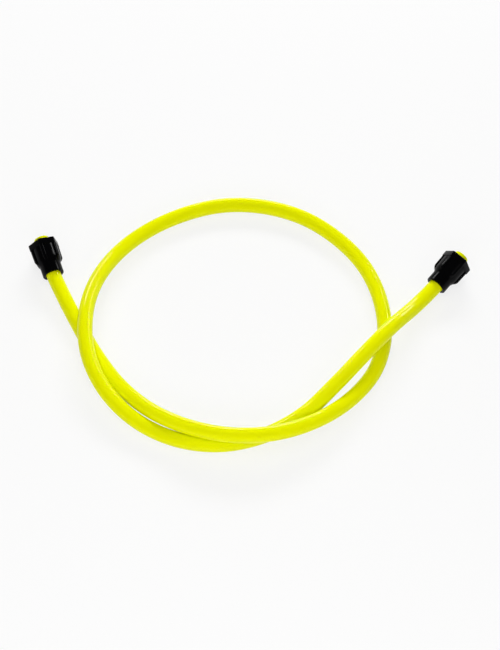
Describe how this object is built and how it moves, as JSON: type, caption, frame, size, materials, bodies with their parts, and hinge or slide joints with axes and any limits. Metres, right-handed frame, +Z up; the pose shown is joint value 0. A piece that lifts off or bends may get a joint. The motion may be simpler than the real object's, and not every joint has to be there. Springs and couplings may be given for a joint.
{
  "type": "garden hose",
  "caption": "Short glossy garden hose in a loose coil, its cut ends threaded through ribbed coupling nuts with a collar, which clamp it onto threaded spouts.",
  "frame": {"origin": "the middle of the whole part's footprint, on the floor that the hose lies on", "axes": "+X to the right across both hose ends, +Y away from the viewer of the picture, the way the nut mouths point, +Z up"},
  "size_m": [0.4134, 0.2772, 0.0307],
  "materials": {
    "hose_pvc": "glossy",
    "nut_plastic": "satin"
  },
  "bodies": {
    "hose": {"hose": "hose_pvc"},
    "left_nut": {"left_nut": "nut_plastic"},
    "right_nut": {"right_nut": "nut_plastic"}
  },
  "joints": [
    {"name": "left_nut_turn", "type": "hinge", "parent": "hose", "child": "left_nut", "pos_m": [-0.1877, 0.06317, 0.01377], "axis": [-0.335, 0.9305, 0.1478], "continuous": true},
    {"name": "right_nut_turn", "type": "hinge", "parent": "hose", "child": "right_nut", "pos_m": [0.18529, 0.04768, 0.01377], "axis": [0.6462, 0.7487, 0.1478], "continuous": true}
  ]
}
